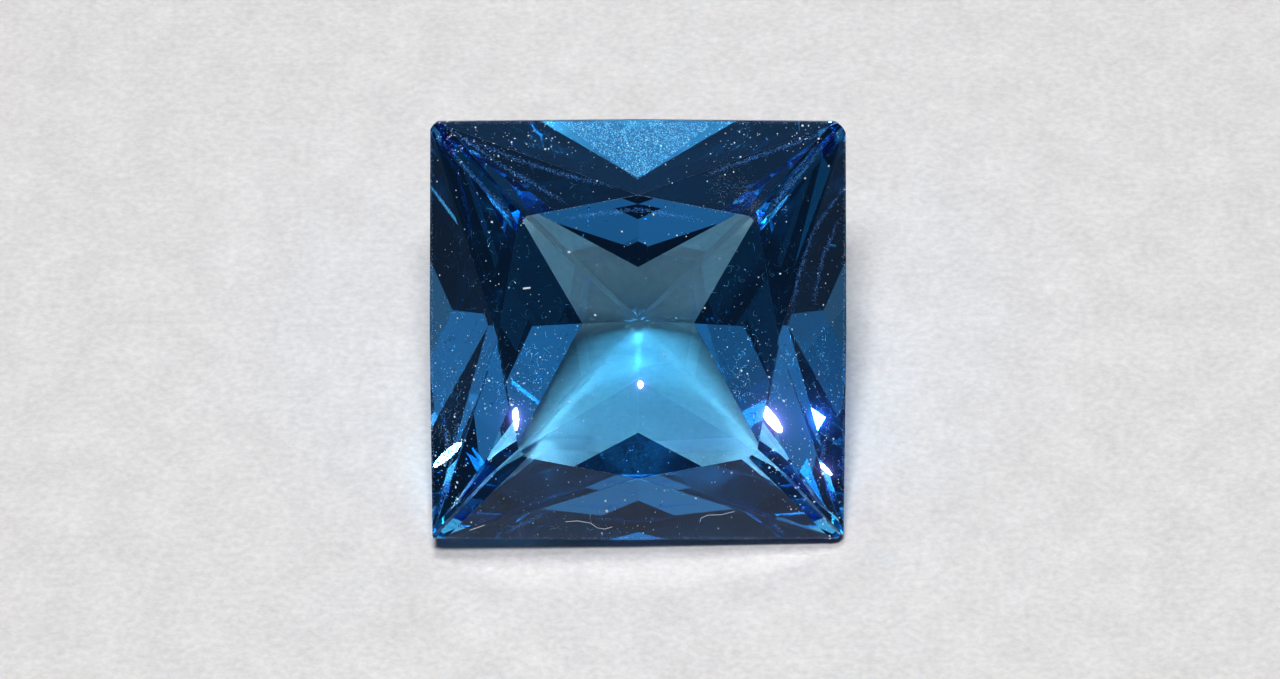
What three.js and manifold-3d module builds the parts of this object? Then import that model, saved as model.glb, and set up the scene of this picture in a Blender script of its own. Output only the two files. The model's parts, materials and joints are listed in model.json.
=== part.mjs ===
// A blue topaz cut as a square princess, lying loose on one facet of its pavilion.
// Units are millimetres. The stone is cut in its own frame, as on a faceting machine:
// the table faces +Z, the culet points down, and the middle of the girdle is the origin.
// It is then turned until the facet it lies on is level, and set down on z = 0.

import * as THREE from "three";
import { mergeVertices } from "three/addons/utils/BufferGeometryUtils.js";
import Module from "manifold-3d";

const wasm = await Module();
wasm.setup();

// ---- the stone's driving dimensions ----

const WIDTH = 10.0;               // across the girdle, side to side
const LENGTH = 10.15;             // across the girdle, front to back
const HALF = WIDTH / 2;

// Crown, as shares of the half width.
const GIRDLE_HALF_HEIGHT = 0.030; // half the frosted band
const CROWN_HEIGHT = 0.26;        // girdle's upper edge to the table
const TABLE_MID = 0.667;          // table's corner in the middle of a side
const TABLE_CORNER = 0.562;       // where two star facets and the table would meet
const KITE_TRIM = 0.02;           // how far a corner kite cuts into the table's corner
const KITE_FOOT = 0.03;           // the kite's foot, in from the girdle's corner

// Pavilion, from the culet outwards. Each chevron is a pair of facets that meet on the
// side's middle line: its outer reach and its slope in degrees are given there, and then
// how far out it runs along the corner ridge. A third pair goes on from there to the girdle.
const CULET_DEPTH = 0.859;
const CHEVRONS = [
  { reach: 0.272, slope: 31.0, ridgeReach: 0.62 },
  { reach: 0.513, slope: 40.2, ridgeReach: 1 },
];
const RIDGE_TRIM = 0.0035;        // the thin facets that run down each corner ridge

// Outline: a small swell in the middle of each side, and a rounded corner.
const SIDE_SWELL_DEG = 0.5;
const CORNER_RADII = [0.07, 0.10, 0.08, 0.04]; // front right, back right, back left, front left
const CORNER_CUTS = 5;

const SIDES = 4;
const UP = new THREE.Vector3(0, 0, 1);

// ---- facets ----

// A facet is a plane with its normal facing out of the stone and its distance from the middle.
function facetAt(normal, point) {
  const n = normal.clone().normalize();
  return { normal: n, distance: n.dot(point) };
}

function facetThrough(a, b, c) {
  const n = b.clone().sub(a).cross(c.clone().sub(a)).normalize();
  if (n.dot(a) < 0) n.negate();
  return { normal: n, distance: n.dot(a) };
}

function point(x, y, z) {
  return new THREE.Vector3(x * HALF, y * HALF, z * HALF);
}

// Every facet is laid out on the front side (-Y) and turned a quarter for each other side.
function turned(facet, side) {
  const n = facet.normal.clone().applyAxisAngle(UP, (side * Math.PI) / 2);
  return { normal: n, distance: facet.distance };
}

function tableFacet() {
  return facetAt(UP, point(0, 0, GIRDLE_HALF_HEIGHT + CROWN_HEIGHT));
}

// One crown main, two stars and half the corner kites belong to each side.
function crownFacets() {
  const top = GIRDLE_HALF_HEIGHT + CROWN_HEIGHT;
  const tableMid = point(0, -TABLE_MID, top);
  const left = point(-1, -1, GIRDLE_HALF_HEIGHT);
  const right = point(1, -1, GIRDLE_HALF_HEIGHT);
  return [
    facetThrough(left, right, tableMid),
    facetThrough(left, tableMid, point(-TABLE_CORNER, -TABLE_CORNER, top)),
    facetThrough(right, tableMid, point(TABLE_CORNER, -TABLE_CORNER, top)),
    kiteFacet(top),
  ];
}

function kiteFacet(top) {
  const out = new THREE.Vector3(1, -1, 0).normalize();
  const head = point(TABLE_CORNER, -TABLE_CORNER, top).addScaledVector(out, -KITE_TRIM * HALF);
  const foot = point(1, -1, GIRDLE_HALF_HEIGHT).addScaledVector(out, -KITE_FOOT * HALF);
  const along = foot.clone().sub(head);
  const across = new THREE.Vector3(1, 1, 0);
  const n = across.cross(along);
  if (n.z < 0) n.negate();
  return facetAt(n, head);
}

// The middle line of a side runs from the culet through the foot of each chevron to the girdle.
function middleLine() {
  const line = [{ reach: 0, depth: CULET_DEPTH }];
  for (const { reach, slope } of CHEVRONS) {
    const inner = line[line.length - 1];
    const fall = Math.tan(THREE.MathUtils.degToRad(slope)) * (reach - inner.reach);
    line.push({ reach, depth: inner.depth - fall });
  }
  line.push({ reach: 1, depth: GIRDLE_HALF_HEIGHT });
  return line;
}

// A tier ends on the corner ridge where the next one out crosses it, or in the girdle's corner.
function ridgeEnd(index, next) {
  const reach = CHEVRONS[index]?.ridgeReach ?? 1;
  const depth = reach < 1 ? next.start - (next.along + next.across) * reach : GIRDLE_HALF_HEIGHT;
  return { reach, depth };
}

// A tier's depth on the front side is start - along * |y| - across * |x|.
function pavilionTiers() {
  const line = middleLine();
  const tiers = [];
  for (let i = line.length - 2; i >= 0; i -= 1) {
    const inner = line[i];
    const outer = line[i + 1];
    const along = (inner.depth - outer.depth) / (outer.reach - inner.reach);
    const start = inner.depth + along * inner.reach;
    const corner = ridgeEnd(i, tiers[0]);
    const across = (start - corner.depth) / corner.reach - along;
    tiers.unshift({ start, along, across });
  }
  return tiers;
}

function chevronFacets() {
  return pavilionTiers().flatMap(({ start, along, across }) =>
    [-1, 1].map((hand) =>
      facetAt(new THREE.Vector3(hand * across, -along, -1), point(0, 0, -start))));
}

// Under the girdle the tiers of two sides meet in the corner alone, so no ridge is left to trim.
function ridgeFacets() {
  return pavilionTiers().slice(0, CHEVRONS.length).map(({ start, along, across }) => {
    const fall = (along + across) / 2;
    const facet = facetAt(new THREE.Vector3(fall, -fall, -1), point(0, 0, -start));
    return { normal: facet.normal, distance: facet.distance - RIDGE_TRIM * HALF };
  });
}

function sideFacets() {
  const swell = THREE.MathUtils.degToRad(SIDE_SWELL_DEG);
  return [-1, 1].map((hand) =>
    facetAt(new THREE.Vector3(hand * Math.sin(swell), -Math.cos(swell), 0), point(0, -1, 0)));
}

// A row of narrow upright facets rounds each corner of the girdle.
function cornerFacets(radius) {
  const centre = point(1 - radius, -(1 - radius), 0);
  const facets = [];
  for (let i = 1; i <= CORNER_CUTS; i += 1) {
    const angle = -Math.PI / 2 + (i / (CORNER_CUTS + 1)) * (Math.PI / 2);
    const out = new THREE.Vector3(Math.cos(angle), Math.sin(angle), 0);
    facets.push(facetAt(out, centre.clone().addScaledVector(out, radius * HALF)));
  }
  return facets;
}

// ---- cutting ----

// The rough is a block a little larger than the stone, as a closed solid.
function roughBlock() {
  const block = new THREE.BoxGeometry(WIDTH * 1.2, WIDTH * 1.2, WIDTH * 1.6);
  block.deleteAttribute("normal");
  block.deleteAttribute("uv");
  const merged = mergeVertices(block, 1e-3);
  return new wasm.Manifold(new wasm.Mesh({
    numProp: 3,
    vertProperties: new Float32Array(merged.attributes.position.array),
    triVerts: new Uint32Array(merged.index.array),
  }));
}

// Cutting a facet keeps what lies behind its plane.
function cut(stone, { normal, distance }) {
  return stone.trimByPlane(normal.clone().negate().toArray(), -distance);
}

function allFacets() {
  const facets = [tableFacet()];
  for (let side = 0; side < SIDES; side += 1) {
    const own = [
      ...sideFacets(),
      ...cornerFacets(CORNER_RADII[side]),
      ...crownFacets(),
      ...chevronFacets(),
      ...ridgeFacets(),
    ];
    facets.push(...own.map((facet) => turned(facet, side)));
  }
  return facets;
}

// ---- laying the stone down ----

// It lies on the second chevron's right-hand facet of the front side.
const RESTING_CHEVRON = 1;

function restingNormal() {
  const { normal } = chevronFacets()[RESTING_CHEVRON * 2 + 1];
  return new THREE.Vector3(normal.x, normal.y * (WIDTH / LENGTH), normal.z).normalize();
}

// The turn that points the resting facet straight down, without swinging the stone about.
function layingTurn() {
  return new THREE.Quaternion().setFromUnitVectors(restingNormal(), UP.clone().negate());
}

// The facets are laid out on a square, which is then drawn out to the stone's length.
function cutStone() {
  const solid = allFacets().reduce(cut, roughBlock());
  const mesh = solid.getMesh();
  const geometry = new THREE.BufferGeometry();
  geometry.setAttribute("position", new THREE.BufferAttribute(mesh.vertProperties, 3));
  geometry.setIndex(new THREE.BufferAttribute(mesh.triVerts, 1));
  geometry.scale(1, LENGTH / WIDTH, 1);
  geometry.applyQuaternion(layingTurn());
  return mergeVertices(geometry, 1e-3);
}

function setOnGround(geometry) {
  geometry.computeBoundingBox();
  const { min, max } = geometry.boundingBox;
  geometry.translate(-(min.x + max.x) / 2, -(min.y + max.y) / 2, -min.z);
  return geometry;
}

const topazBlue = new THREE.MeshStandardMaterial({
  color: 0x2f8fc8,
  roughness: 0.03,
  metalness: 0.0,
  transparent: true,
  opacity: 0.6,
});

const topaz = new THREE.Mesh(setOnGround(cutStone()), topazBlue);
topaz.name = "topaz";

const part = new THREE.Group();
part.add(topaz);

export default part;
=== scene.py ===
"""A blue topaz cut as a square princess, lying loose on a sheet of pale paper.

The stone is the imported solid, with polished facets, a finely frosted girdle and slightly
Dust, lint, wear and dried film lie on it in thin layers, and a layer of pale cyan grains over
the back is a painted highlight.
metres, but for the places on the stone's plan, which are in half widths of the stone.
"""

import json
import math
import random

import bmesh
import bpy
from mathutils import Matrix, Vector
from mathutils.bvhtree import BVHTree


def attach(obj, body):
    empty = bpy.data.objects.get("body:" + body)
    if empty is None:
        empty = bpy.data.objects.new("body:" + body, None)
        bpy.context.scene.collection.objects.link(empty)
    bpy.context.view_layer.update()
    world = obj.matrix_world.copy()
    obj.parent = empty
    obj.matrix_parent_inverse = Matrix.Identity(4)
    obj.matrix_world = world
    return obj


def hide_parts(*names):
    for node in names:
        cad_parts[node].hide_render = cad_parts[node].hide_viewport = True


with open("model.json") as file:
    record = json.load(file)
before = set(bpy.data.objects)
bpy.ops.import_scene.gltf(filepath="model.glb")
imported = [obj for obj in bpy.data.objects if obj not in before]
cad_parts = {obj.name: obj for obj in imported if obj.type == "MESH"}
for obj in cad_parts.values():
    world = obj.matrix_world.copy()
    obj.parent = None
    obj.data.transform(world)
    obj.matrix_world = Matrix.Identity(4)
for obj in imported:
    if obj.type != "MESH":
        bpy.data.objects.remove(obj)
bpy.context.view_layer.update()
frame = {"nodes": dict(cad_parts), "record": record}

MICRON = 1e-6

# ---- the stone's own frame ----

HALF = 0.005                 # half the stone's width
TABLE_HEIGHT = 0.29 * HALF   # the table above the middle of the girdle
STRETCH = 1.015              # front to back, against side to side

TABLE = next(m for m in frame["record"]["mounts"] if m["name"] == "table")
TABLE_AXIS = Vector(TABLE["axis"]).normalized()
LAYING_TURN = Vector((0, 0, 1)).rotation_difference(TABLE_AXIS)

# The middle of the girdle is straight under the middle of the table.
MIDDLE = Vector(TABLE["pos_m"]) - TABLE_AXIS * TABLE_HEIGHT


def placed(x, y, z):
    """A point given in half widths of the stone, in the scene."""
    return MIDDLE + LAYING_TURN @ Vector((x, y, z)) * HALF


# ---- materials ----

def new_material(name):
    material = bpy.data.materials.new(name)
    material.use_nodes = True
    return material, material.node_tree, material.node_tree.nodes["Principled BSDF"]


TOPAZ_IOR = 1.63
TOPAZ_TINT = (0.0, 0.735, 0.965)     # what is left of red, green and blue goes by these
TOPAZ_DENSITY = 170.0                # absorption per metre
POLISHED = 0.0
FROSTED = 0.35


def blue_crystal(name, roughness):
    """Clear topaz: it bends light, and takes red out of it along its way."""
    material, tree, shader = new_material(name)
    shader.inputs["Base Color"].default_value = (1, 1, 1, 1)
    shader.inputs["Roughness"].default_value = roughness
    shader.inputs["IOR"].default_value = TOPAZ_IOR
    shader.inputs["Transmission Weight"].default_value = 1.0
    inside = tree.nodes.new("ShaderNodeVolumeAbsorption")
    inside.inputs["Color"].default_value = (*TOPAZ_TINT, 1)
    inside.inputs["Density"].default_value = TOPAZ_DENSITY
    tree.links.new(inside.outputs["Volume"], tree.nodes["Material Output"].inputs["Volume"])
    return material


# The finish of each thin layer on the stone: its name, colour and roughness.
FINISHES = {
    "dust": ("pale_dust", (0.85, 0.87, 0.90), 0.8),
    "worn_edges": ("chipped_edge", (0.8, 0.86, 0.9), 0.5),
    "worn_rim": ("rim_wear", (0.62, 0.70, 0.86), 0.6),
    "smear": ("dried_smear", (0.6, 0.62, 0.66), 0.6),
    "smudges": ("dried_film", (0.85, 0.88, 0.9), 0.7),
    "wipe_marks": ("wiped_film", (0.18, 0.48, 1.0), 0.7),
    "rubbed_ridges": ("rubbed_edge", (0.8, 0.88, 0.9), 0.6),
    # pale cyan grains over the back triangle: a painted highlight, laid on as fine dust
    "highlight_haze": ("fine_haze_painted_highlight", (0.66, 0.90, 1.0), 0.8),
    "lint": ("pale_lint", (0.8, 0.8, 0.78), 0.7),
}


def layer_finish(layer):
    name, colour, roughness = FINISHES[layer]
    material, _, shader = new_material(name)
    shader.inputs["Base Color"].default_value = (*colour, 1)
    shader.inputs["Roughness"].default_value = roughness
    return material


def grain(tree, coordinates, stretch, scale, detail):
    """A noise pattern on Object coordinates, drawn out along X by stretch."""
    place = tree.nodes.new("ShaderNodeMapping")
    place.inputs["Scale"].default_value = (1 / stretch, 1, 1)
    noise = tree.nodes.new("ShaderNodeTexNoise")
    noise.inputs["Scale"].default_value = scale
    noise.inputs["Detail"].default_value = detail
    noise.inputs["Roughness"].default_value = 0.6
    tree.links.new(coordinates.outputs["Object"], place.inputs["Vector"])
    tree.links.new(place.outputs["Vector"], noise.inputs["Vector"])
    return noise.outputs["Fac"]


# The paper's colour follows its relief: the darker colour lies in the hollows as painted
# shade, the lighter one on the raised fibres.
PAPER_SHADED_HOLLOW = (0.715, 0.694, 0.676)
PAPER_FIBRE = (0.875, 0.854, 0.834)
FIBRES = (1.5, 7500.0, 6.0)          # stretch, scale per metre and detail
MOTTLE = (1.1, 900.0, 3.0)
MOTTLE_SHARE = 0.35
HOLLOW_LEVEL = 0.30                  # the pattern's values that get the two colours
FIBRE_LEVEL = 0.70
FIBRE_HEIGHT = 30 * MICRON


def pale_paper():
    """Uncoated paper: felted fibres a few hundredths of a millimetre wide, softly mottled,
    with painted shade in the hollows of its relief.
    """
    material, tree, shader = new_material("pale_paper")
    shader.inputs["Roughness"].default_value = 0.9
    shader.inputs["Specular IOR Level"].default_value = 0.2
    coordinates = tree.nodes.new("ShaderNodeTexCoord")
    blend = tree.nodes.new("ShaderNodeMix")
    blend.inputs["Factor"].default_value = MOTTLE_SHARE
    tree.links.new(grain(tree, coordinates, *FIBRES), blend.inputs["A"])
    tree.links.new(grain(tree, coordinates, *MOTTLE), blend.inputs["B"])
    # the same pattern sets the colour and the bump, so the hollows get painted shade
    shade = tree.nodes.new("ShaderNodeValToRGB")
    shade.color_ramp.elements[0].position = HOLLOW_LEVEL
    shade.color_ramp.elements[0].color = (*PAPER_SHADED_HOLLOW, 1)
    shade.color_ramp.elements[1].position = FIBRE_LEVEL
    shade.color_ramp.elements[1].color = (*PAPER_FIBRE, 1)
    tree.links.new(blend.outputs["Result"], shade.inputs["Fac"])
    tree.links.new(shade.outputs["Color"], shader.inputs["Base Color"])
    relief = tree.nodes.new("ShaderNodeBump")
    relief.inputs["Strength"].default_value = 0.5
    relief.inputs["Distance"].default_value = FIBRE_HEIGHT
    tree.links.new(blend.outputs["Result"], relief.inputs["Height"])
    tree.links.new(relief.outputs["Normal"], shader.inputs["Normal"])
    return material


# ---- the stone ----

MERGE_DISTANCE = 1 * MICRON
FLAT_ANGLE_DEG = 0.05        # triangles that meet at less than this are one facet


def flat_facets(node):
    """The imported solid's loose triangles, merged into one face for each facet."""
    form = bmesh.new()
    form.from_mesh(node.data)
    bmesh.ops.remove_doubles(form, verts=form.verts[:], dist=MERGE_DISTANCE)
    bmesh.ops.dissolve_limit(form, angle_limit=math.radians(FLAT_ANGLE_DEG),
                             verts=form.verts[:], edges=form.edges[:],
                             use_dissolve_boundaries=False)
    bmesh.ops.recalc_face_normals(form, faces=form.faces[:])
    return form


EDGE_WEAR = 7 * MICRON       # how far in the fine wear on each facet's edge reaches
POLISHED_SLOT = 0
FROSTED_SLOT = 1
GIRDLE_LEAN = 0.05           # the girdle's faces look out sideways to within this sine


def wear_edges(form):
    """Every edge is very slightly rubbed, and frosted there."""
    worn = bmesh.ops.bevel(form, geom=form.edges[:], offset=EDGE_WEAR, offset_type="OFFSET",
                           segments=1, profile=0.5, affect="EDGES", material=-1,
                           clamp_overlap=True)
    for face in worn["faces"]:
        face.material_index = FROSTED_SLOT


def cut_stone():
    form = flat_facets(frame["nodes"]["topaz"])
    for face in form.faces:
        girdle = abs(face.normal.dot(TABLE_AXIS)) < GIRDLE_LEAN
        face.material_index = FROSTED_SLOT if girdle else POLISHED_SLOT
    wear_edges(form)
    bmesh.ops.recalc_face_normals(form, faces=form.faces[:])
    for face in form.faces:
        face.smooth = False
    mesh = bpy.data.meshes.new("cut_stone")
    form.to_mesh(mesh)
    form.free()
    mesh.materials.append(blue_crystal("polished_topaz", POLISHED))
    mesh.materials.append(blue_crystal("frosted_girdle", FROSTED))
    stone = bpy.data.objects.new("cut_stone", mesh)
    bpy.context.collection.objects.link(stone)
    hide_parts("topaz")
    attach(stone, "root")
    return stone


# ---- laying things on the stone ----

START_HEIGHT = 1.5           # rays start this far from the girdle's middle, in half widths
LEAST_FACING = 0.1           # steeper faces than this cosine, such as the girdle, are bare


class Side:
    """The stone's crown (facing 1) or pavilion (facing -1), to lay things on by plan place."""

    def __init__(self, stone, facing):
        form = bmesh.new()
        form.from_mesh(stone.data)
        self.tree = BVHTree.FromBMesh(form)
        self.facing = facing
        form.free()

    def surface(self, x, y):
        """The point and its normal at plan place x, y, or None past the stone's edge."""
        start = placed(x, y * STRETCH, START_HEIGHT * self.facing)
        point, normal, _, _ = self.tree.ray_cast(start, -self.facing * TABLE_AXIS)
        if point is None or normal.dot(TABLE_AXIS) * self.facing < LEAST_FACING:
            return None
        return point, normal


BATCH = 40                   # grains are made in small batches, which keeps the script quick
GRAIN_LENGTHS = (0.7, 1.5)   # a grain's length and height, against its width
GRAIN_HEIGHT = 0.6


class Grains:
    """A thin layer of many small uneven grains on one side of the stone, in one mesh."""

    def __init__(self, name, side, seed, sizes=None, lift=0.5):
        """Sizes are the smallest and largest radius in micrometres.

        Lift is how far the middle of a grain lies above the facet, in radii.
        """
        self.name = name
        self.side = side
        self.rng = random.Random(seed)
        self.sizes = sizes
        self.lift = lift
        self.whole = bmesh.new()
        self.batch = bmesh.new()
        self.count = 0

    def add(self, x, y, radius=None):
        """Lays one grain on the facet at plan place x, y."""
        if radius is None:
            radius = self.rng.uniform(*self.sizes) * MICRON
        found = self.side.surface(x, y)
        if found is None:
            return
        point, normal = found
        turn = normal.to_track_quat("Z", "Y").to_matrix().to_4x4()
        spin = Matrix.Rotation(self.rng.uniform(0, math.tau), 4, "Z")
        length = radius * self.rng.uniform(*GRAIN_LENGTHS)
        size = Matrix.Diagonal((length, radius, radius * GRAIN_HEIGHT, 1))
        place = Matrix.Translation(point + normal * radius * self.lift)
        bmesh.ops.create_icosphere(self.batch, subdivisions=1, radius=1.0,
                                   matrix=place @ turn @ spin @ size)
        self.count += 1
        if self.count % BATCH == 0:
            self.pour()

    def pour(self):
        """Moves the batch into the whole."""
        carrier = bpy.data.meshes.new("grain_batch")
        self.batch.to_mesh(carrier)
        self.whole.from_mesh(carrier)
        bpy.data.meshes.remove(carrier)
        self.batch.clear()

    def finish(self):
        """Makes the layer a piece of the scene."""
        self.pour()
        self.batch.free()
        mesh = bpy.data.meshes.new(self.name)
        self.whole.to_mesh(mesh)
        self.whole.free()
        mesh.materials.append(layer_finish(self.name))
        piece = bpy.data.objects.new(self.name, mesh)
        bpy.context.collection.objects.link(piece)
        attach(piece, "root")
        return piece


def between(start, end, share):
    """The place that lies the share of the way from start to end."""
    return [a + (b - a) * share for a, b in zip(start, end)]


# ---- dust and wear on the crown ----

FINEST_DUST = 8              # radii in micrometres
COARSEST_DUST = 40
DUST_VARIETY = 0.55
DUST_REACH = 0.99            # how far out on the plan loose specks lie
LOOSE_SPECKS = 620

# Clusters of dust: plan place, spread across x and y, and how many specks.
DUST_CLUSTERS = [
    (-0.92, 0.95, 0.03, 0.03, 26),
    (-0.86, 0.90, 0.05, 0.03, 22),
    (-0.70, 0.87, 0.11, 0.035, 46),
    (-0.40, 0.93, 0.10, 0.05, 30),
    (0.10, 0.90, 0.22, 0.06, 40),
    (0.55, 0.92, 0.14, 0.05, 30),
    (0.80, 0.93, 0.07, 0.03, 26),
    (0.70, -0.60, 0.06, 0.05, 40),
    (0.78, -0.76, 0.05, 0.06, 26),
    (0.93, -0.90, 0.03, 0.05, 20),
    (-0.93, -0.62, 0.03, 0.12, 40),
    (-0.55, -0.28, 0.10, 0.16, 90),
    (0.58, -0.26, 0.10, 0.16, 90),
    (-0.86, -0.35, 0.06, 0.20, 70),
    (0.86, -0.40, 0.06, 0.20, 70),
]


def speck_radius(rng):
    """Most dust is fine, and a few specks are much coarser."""
    size = FINEST_DUST * math.exp(abs(rng.gauss(0, DUST_VARIETY)))
    return min(COARSEST_DUST, size) * MICRON


def dust(crown):
    """Loose specks all over, and thicker where dust has gathered."""
    grains = Grains("dust", crown, seed=11)
    rng = grains.rng
    for _ in range(LOOSE_SPECKS):
        grains.add(rng.uniform(-DUST_REACH, DUST_REACH), rng.uniform(-DUST_REACH, DUST_REACH),
                   speck_radius(rng))
    for x, y, wide, deep, count in DUST_CLUSTERS:
        for _ in range(count):
            grains.add(rng.gauss(x, wide), rng.gauss(y, deep), speck_radius(rng))
    return grains.finish()


# The table's edges along the back and the front run from corner to middle to corner.
TABLE_CORNER_X = 0.548
TABLE_CORNER_Y = 0.561
TABLE_TIP_Y = 0.667
BACK_EDGE = [(-TABLE_CORNER_X, TABLE_CORNER_Y), (0.0, TABLE_TIP_Y),
             (TABLE_CORNER_X, TABLE_CORNER_Y)]
FRONT_EDGE = [(x, -y) for x, y in BACK_EDGE]
CHIP_STEP = 0.012
CHIP_GAPS = 0.35             # the share of steps without a chip


def worn_edges(crown):
    """Rows of tiny chips and dust caught along the table's edges."""
    grains = Grains("worn_edges", crown, seed=5, sizes=(4, 10))
    rng = grains.rng
    for edge in (BACK_EDGE, FRONT_EDGE):
        for start, end in zip(edge, edge[1:]):
            steps = int(math.dist(start, end) / CHIP_STEP)
            for i in range(steps):
                if rng.random() < CHIP_GAPS:
                    continue
                grains.add(*between(start, end, (i + rng.uniform(-0.5, 0.5)) / steps))
    return grains.finish()


# Fine wear all round the stone's outline: how far out it lies, its spread and its grains.
RIM_PLACE = 0.989
RIM_SPREAD = 0.004
RIM_LENGTH = 0.97            # how far it runs from the middle of a side to both its ends
RIM_GRAINS = 900             # on each side


def worn_rim(crown):
    """A pale line of tiny chips where the crown meets the girdle."""
    grains = Grains("worn_rim", crown, seed=29, sizes=(3, 7), lift=0.1)
    for side in range(4):
        for _ in range(RIM_GRAINS):
            along = grains.rng.uniform(-RIM_LENGTH, RIM_LENGTH)
            out = grains.rng.gauss(RIM_PLACE, RIM_SPREAD)
            grains.add(*[(along, out), (out, along), (along, -out), (-out, along)][side])
    return grains.finish()


# ---- film on the crown, and a painted highlight laid on as haze ----

# Blots of a dried smear on the back right: plan place, and spread across x and y.
SMEAR_BLOTS = [(0.40, 0.72, 0.035, 0.07), (0.50, 0.67, 0.03, 0.06), (0.56, 0.60, 0.02, 0.04)]
SMEAR_GRAINS = 260           # in each blot


def smear(crown):
    """A greyish smear that has dried in fine grains."""
    grains = Grains("smear", crown, seed=23, sizes=(3, 6))
    for x, y, wide, deep in SMEAR_BLOTS:
        for _ in range(SMEAR_GRAINS):
            grains.add(grains.rng.gauss(x, wide), grains.rng.gauss(y, deep))
    return grains.finish()


# The middle line of each streak that a cloth has left, on the plan.
WIPES = [
    [(-0.80, 0.91), (-0.60, 0.83), (-0.40, 0.77), (-0.11, 0.70)],
    [(-0.96, 0.93), (-0.74, 0.70), (-0.58, 0.55)],
    [(-0.90, 0.96), (-0.62, 0.78), (-0.32, 0.62)],
    [(0.90, 0.95), (0.58, 0.84), (0.30, 0.75)],
    [(0.94, 0.95), (0.76, 0.74), (0.60, 0.57)],
    [(0.86, 0.90), (0.73, 0.74), (0.64, 0.61)],
    [(0.99, 0.69), (0.83, 0.48), (0.76, 0.27), (0.73, 0.12)],
    [(0.97, 0.55), (0.88, 0.36), (0.84, 0.15)],
    [(-0.98, 0.68), (-0.88, 0.55)],
    [(-0.95, -0.30), (-0.90, -0.62), (-0.96, -0.88)],
    [(-0.86, -0.40), (-0.92, -0.80)],
    [(0.93, -0.35), (0.88, -0.60), (0.95, -0.86)],
    [(-0.66, -0.97), (-0.53, -0.90), (-0.42, -0.84)],
    [(0.64, -0.90), (0.71, -0.97)],
    [(-0.35, 0.56), (0.0, 0.60), (0.30, 0.55)],
]
WIPE_SPREAD = 0.006
GRAINS_PER_LENGTH = 1100     # for each half width of a streak's length


def wipe_marks(crown):
    """Long faint bluish streaks of fine film, each thinning out at its ends."""
    grains = Grains("wipe_marks", crown, seed=61, sizes=(4, 8), lift=0.1)
    rng = grains.rng
    for line in WIPES:
        for i, (start, end) in enumerate(zip(line, line[1:])):
            for _ in range(int(math.dist(start, end) * GRAINS_PER_LENGTH)):
                share = rng.random()
                whole = (i + share) / (len(line) - 1)
                if rng.random() > math.sin(math.pi * whole) ** 0.5:
                    continue
                x, y = between(start, end, share)
                grains.add(x + rng.gauss(0, WIPE_SPREAD), y + rng.gauss(0, WIPE_SPREAD))
    return grains.finish()


# The hazy patch at the middle of the back: pale cyan grains that paint a highlight over the
# back triangle. A triangle on the plan, its point in front.
HIGHLIGHT_HAZE_HALF_WIDTH = 0.36
HIGHLIGHT_HAZE_BACK = 0.985
HIGHLIGHT_HAZE_FRONT = 0.73
HIGHLIGHT_HAZE_GRAINS = 2400


def highlight_haze(crown):
    """Fine pale cyan grains spread evenly over a triangle, a painted highlight that lightens
    it.
    """
    grains = Grains("highlight_haze", crown, seed=83, sizes=(4.5, 9.5), lift=0.2)
    for _ in range(HIGHLIGHT_HAZE_GRAINS):
        depth = math.sqrt(grains.rng.random())
        x = grains.rng.uniform(-1, 1) * HIGHLIGHT_HAZE_HALF_WIDTH * depth
        grains.add(x, HIGHLIGHT_HAZE_FRONT + (HIGHLIGHT_HAZE_BACK - HIGHLIGHT_HAZE_FRONT) * depth)
    return grains.finish()


# ---- film and wear on the pavilion, seen from inside through the crown ----

# Where it is smudged: plan place, spread across x and y, and how many strokes.
SMUDGES = [
    (-0.48, -0.22, 0.07, 0.14, 75),
    (0.50, -0.22, 0.07, 0.15, 75),
    (-0.86, -0.25, 0.06, 0.20, 80),
    (0.84, -0.30, 0.06, 0.20, 80),
    (0.02, 0.90, 0.16, 0.05, 40),
    (-0.45, -0.88, 0.25, 0.04, 26),
    (-0.30, 0.60, 0.25, 0.08, 30),
    (0.55, 0.25, 0.12, 0.15, 26),
    (-0.60, 0.30, 0.12, 0.15, 26),
]
STROKE_GRAINS = 9
STROKE_STEP = 0.0045
STRONGEST_CURL = 0.35        # how much a stroke turns at each grain, in radians


def smudges(pavilion):
    """Short curled strokes of dried film."""
    grains = Grains("smudges", pavilion, seed=41, sizes=(4, 10), lift=0.0)
    rng = grains.rng
    for x, y, wide, deep, strokes in SMUDGES:
        for _ in range(strokes):
            place = [rng.gauss(x, wide), rng.gauss(y, deep)]
            heading = rng.uniform(0, math.tau)
            curl = rng.uniform(-STRONGEST_CURL, STRONGEST_CURL)
            for _ in range(STROKE_GRAINS):
                grains.add(*place)
                place[0] += math.cos(heading) * STROKE_STEP
                place[1] += math.sin(heading) * STROKE_STEP
                heading += curl
    return grains.finish()


# Each ridge runs from the culet towards a corner, with a rubbed line on both its sides.
RIDGE_WAYS = [(1, -1), (1, 1), (-1, 1), (-1, -1)]
RIDGE_REACH = 0.62
RIDGE_SIDE = 0.011
RUB_STEP = 0.0035
RUB_GAPS = 0.3               # the share of steps that are not rubbed


def rubbed_ridges(pavilion):
    """Fine pale lines where the ridges are rubbed."""
    grains = Grains("rubbed_ridges", pavilion, seed=71, sizes=(2, 4.5), lift=0.0)
    rng = grains.rng
    for along, across in RIDGE_WAYS:
        for side in (RIDGE_SIDE, -RIDGE_SIDE):
            for i in range(int(RIDGE_REACH / RUB_STEP)):
                if rng.random() < RUB_GAPS:
                    continue
                reach = (i + rng.random()) * RUB_STEP
                grains.add(along * reach + side * across, across * reach - side * along)
    return grains.finish()


# ---- lint ----

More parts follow.
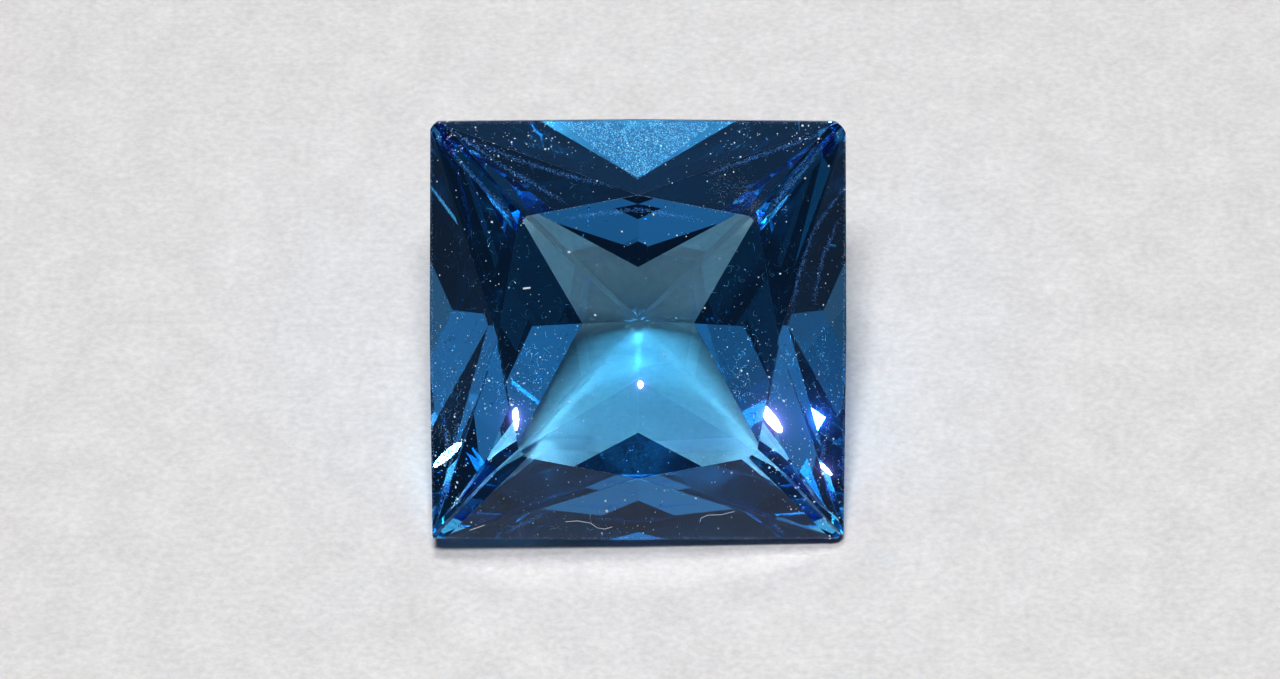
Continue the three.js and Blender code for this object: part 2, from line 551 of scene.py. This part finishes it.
# Each fibre's places on the plan, and its radius in micrometres.
LINT = [
    ([(-0.349, -0.898), (-0.29, -0.893), (-0.229, -0.905), (-0.196, -0.931), (-0.16, -0.938),
      (-0.124, -0.926)], 9),
    ([(0.297, -0.90), (0.303, -0.878), (0.335, -0.862), (0.40, -0.860), (0.463, -0.842)], 8),
    ([(-0.81, -0.944), (-0.737, -0.916)], 10),
    ([(-0.545, 0.229), (-0.509, 0.233)], 26),
]


def lint(crown):
    """Short fibres lying on the facets, each a thin round thread."""
    data = bpy.data.curves.new("lint", "CURVE")
    data.dimensions = "3D"
    data.bevel_depth = MICRON
    data.bevel_resolution = 1
    data.resolution_u = 4
    for plan, radius in LINT:
        points = [crown.surface(x, y) for x, y in plan]
        thread = data.splines.new("POLY")
        thread.points.add(len(points) - 1)
        for knot, (point, normal) in zip(thread.points, points):
            knot.co = (*(point + normal * radius * MICRON), 1)
            knot.radius = radius
    data.materials.append(layer_finish("lint"))
    piece = bpy.data.objects.new("lint", data)
    bpy.context.collection.objects.link(piece)
    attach(piece, "root")
    return piece


# ---- the paper ----

PAPER_HALF = 0.3             # half the sheet's width
PAPER_GAP = 10 * MICRON      # the stone rests on the paper's highest fibres


def paper_sheet():
    form = bmesh.new()
    low = Matrix.Translation((0, 0, -PAPER_GAP))
    bmesh.ops.create_grid(form, x_segments=1, y_segments=1, size=PAPER_HALF, matrix=low)
    mesh = bpy.data.meshes.new("paper")
    form.to_mesh(mesh)
    form.free()
    mesh.materials.append(pale_paper())
    sheet = bpy.data.objects.new("paper", mesh)
    bpy.context.collection.objects.link(sheet)
    return sheet


# ---- the camera ----

CAMERA_LEAN_DEG = 6.5        # the camera stands this far behind the table's own axis
CAMERA_DISTANCE = 22 * HALF
AIM_RIGHT = 0.0096 * HALF    # the middle of the view, from the middle of the girdle
AIM_DOWN = 0.0433 * HALF
SENSOR_WIDTH = 36            # millimetres
PICTURE_WIDTH_PX = 1280
HALF_STONE_PX = 208          # half the stone's width in the picture
VIEW_WIDTH = PICTURE_WIDTH_PX / HALF_STONE_PX * HALF


def view_frame():
    """Right, up and back of the camera, for the stone as it lies."""
    lean = math.radians(CAMERA_LEAN_DEG)
    back = LAYING_TURN @ Vector((0, math.tan(lean), 1)).normalized()
    up = LAYING_TURN @ Vector((0, 1, 0))
    up = (up - up.dot(back) * back).normalized()
    return up.cross(back), up, back


def camera():
    """Sets up the camera, and gives the place of its eye."""
    right, up, back = view_frame()
    eye = MIDDLE + right * AIM_RIGHT - up * AIM_DOWN + back * CAMERA_DISTANCE
    data = bpy.data.cameras.new("camera")
    data.sensor_width = SENSOR_WIDTH
    data.lens = SENSOR_WIDTH * CAMERA_DISTANCE / VIEW_WIDTH
    data.clip_start = 0.001
    stand = bpy.data.objects.new("camera", data)
    turn = Matrix((right, up, back)).transposed().to_4x4()
    stand.matrix_world = Matrix.Translation(eye) @ turn
    bpy.context.collection.objects.link(stand)
    bpy.context.scene.camera = stand
    return eye


# ---- the light ----

WHITE_LIGHT = (1.0, 1.0, 1.0)
COOL_LIGHT = (0.70, 0.80, 1.0)
CYAN_LIGHT = (0.45, 0.85, 1.0)
DUSK_LIGHT = (0.24, 0.55, 1.0)
ROOM_LIGHT = (0.034, 0.040, 0.058)

# Lamps and glowing cards: azimuth (0 on the camera's side, 90 on the right of the view) and
# elevation in degrees, distance, width, depth, power in watts, and colour.
LAMPS = [
    ("left_lamp", 335, 80, 0.3, 0.05, 0.05, 0.325, WHITE_LIGHT),
    ("right_lamp", 25, 80, 0.3, 0.05, 0.05, 0.325, WHITE_LIGHT),
    ("back_lamp", 180, 75, 0.3, 0.06, 0.06, 0.25, WHITE_LIGHT),
    ("top_panel", 0, 66.5, 0.4, 0.080, 0.055, 0.0170, WHITE_LIGHT),
    ("left_panel", 347, 56, 0.4, 0.080, 0.085, 0.0088, COOL_LIGHT),
    ("right_panel", 12, 56, 0.4, 0.075, 0.085, 0.0075, COOL_LIGHT),
    ("left_strip", 352.5, 49, 0.4, 0.070, 0.025, 0.0022, COOL_LIGHT),
    ("right_strip", 7, 49, 0.4, 0.060, 0.025, 0.0012, COOL_LIGHT),
    ("back_card", 173, 59, 0.4, 0.080, 0.065, 0.020, DUSK_LIGHT),
    ("high_right_card", 120, 75, 0.4, 0.060, 0.060, 0.011, DUSK_LIGHT),
    ("high_left_card", 221, 78.5, 0.4, 0.060, 0.060, 0.007, DUSK_LIGHT),
    ("left_card", 283, 17, 0.4, 0.20, 0.16, 0.024, COOL_LIGHT),
    ("right_card", 66, 14, 0.4, 0.20, 0.16, 0.030, COOL_LIGHT),
    ("pale_strip", 333, 57.3, 0.4, 0.03, 0.03, 0.0035, COOL_LIGHT),
]

# The stone's glints: plan place, the lamp's width and depth, its strength and its colour.
GLINTS = [
    ("table_glint", 0.012, -0.222, 0.0004, 0.0006, 500.0, WHITE_LIGHT),
    ("right_glint", 0.632, -0.385, 0.0009, 0.0032, 260.0, WHITE_LIGHT),
    ("left_glint", -0.582, -0.385, 0.0006, 0.0020, 260.0, WHITE_LIGHT),
    ("low_right_glint", 0.890, -0.640, 0.0004, 0.0020, 300.0, WHITE_LIGHT),
    ("left_edge_glint", -0.915, -0.580, 0.0008, 0.0034, 30.0, CYAN_LIGHT),
]
GLINT_DISTANCE = 0.3


def area_lamp(name, shape, start, way, distance, width, depth, power, colour):
    """A lamp that stands the distance away from start along way, and shines back."""
    data = bpy.data.lights.new(name, "AREA")
    data.shape = shape
    data.size = width
    data.size_y = depth
    data.energy = power
    data.color = colour
    lamp = bpy.data.objects.new(name, data)
    lamp.location = start + way * distance
    lamp.rotation_euler = way.to_track_quat("Z", "Y").to_euler()
    bpy.context.collection.objects.link(lamp)


def soft_light(name, azimuth_deg, elevation_deg, distance, width, depth, power, colour):
    back = view_frame()[2]
    azimuth = math.atan2(back.y, back.x) + math.radians(azimuth_deg)
    elevation = math.radians(elevation_deg)
    way = Vector((math.cos(elevation) * math.cos(azimuth),
                  math.cos(elevation) * math.sin(azimuth), math.sin(elevation)))
    area_lamp(name, "RECTANGLE", MIDDLE, way, distance, width, depth, power, colour)


def glint_lamps(eye, crown):
    """Small bright lamps that the eye sees mirrored in the crown's facets."""
    for name, x, y, width, depth, strength, colour in GLINTS:
        spot, normal = crown.surface(x, y)
        way = (spot - eye).normalized().reflect(normal)
        power = strength * math.pi * width * depth
        area_lamp(name, "ELLIPSE", spot, way, GLINT_DISTANCE, width, depth, power, colour)


def studio():
    for lamp in LAMPS:
        soft_light(*lamp)
    world = bpy.data.worlds.new("room")
    world.use_nodes = True
    world.node_tree.nodes["Background"].inputs["Color"].default_value = (*ROOM_LIGHT, 1)
    bpy.context.scene.world = world


# ---- how the picture is made ----

CONTRAST_GAMMA = 0.72        # below 1 deepens the dark tones
MOST_BOUNCES = 24            # light crosses the stone many times before it leaves
PAPER_BOUNCES = 4

GLOW_THRESHOLD = 3.0         # only the glints are brighter than this
GLOW_STRENGTH = 0.5
GLOW_SIZE = 0.3
GLOW_TINT = (0.45, 0.35, 1.0)


def picture_settings():
    scene = bpy.context.scene
    scene.view_settings.view_transform = "Standard"
    scene.view_settings.gamma = CONTRAST_GAMMA
    light = scene.cycles
    light.max_bounces = MOST_BOUNCES
    light.transmission_bounces = MOST_BOUNCES
    light.glossy_bounces = MOST_BOUNCES
    light.diffuse_bounces = PAPER_BOUNCES
    light.blur_glossy = 0
    light.sample_clamp_indirect = 0
    light.use_denoising = True


def lens_glow():
    """A faint violet halo around the brightest glints."""
    scene = bpy.context.scene
    scene.use_nodes = True
    tree = scene.node_tree
    tree.nodes.clear()
    layers = tree.nodes.new("CompositorNodeRLayers")
    glare = tree.nodes.new("CompositorNodeGlare")
    glare.glare_type = "BLOOM"
    glare.quality = "HIGH"
    glare.inputs["Threshold"].default_value = GLOW_THRESHOLD
    glare.inputs["Strength"].default_value = GLOW_STRENGTH
    glare.inputs["Size"].default_value = GLOW_SIZE
    glare.inputs["Tint"].default_value = (*GLOW_TINT, 1)
    out = tree.nodes.new("CompositorNodeComposite")
    tree.links.new(layers.outputs["Image"], glare.inputs["Image"])
    tree.links.new(glare.outputs["Image"], out.inputs["Image"])


# ---- the whole scene ----

stone = cut_stone()
crown = Side(stone, 1)
pavilion = Side(stone, -1)
dust(crown)
worn_edges(crown)
worn_rim(crown)
smear(crown)
smudges(pavilion)
wipe_marks(crown)
rubbed_ridges(pavilion)
highlight_haze(crown)
lint(crown)
paper_sheet()
studio()
glint_lamps(camera(), crown)
picture_settings()
lens_glow()
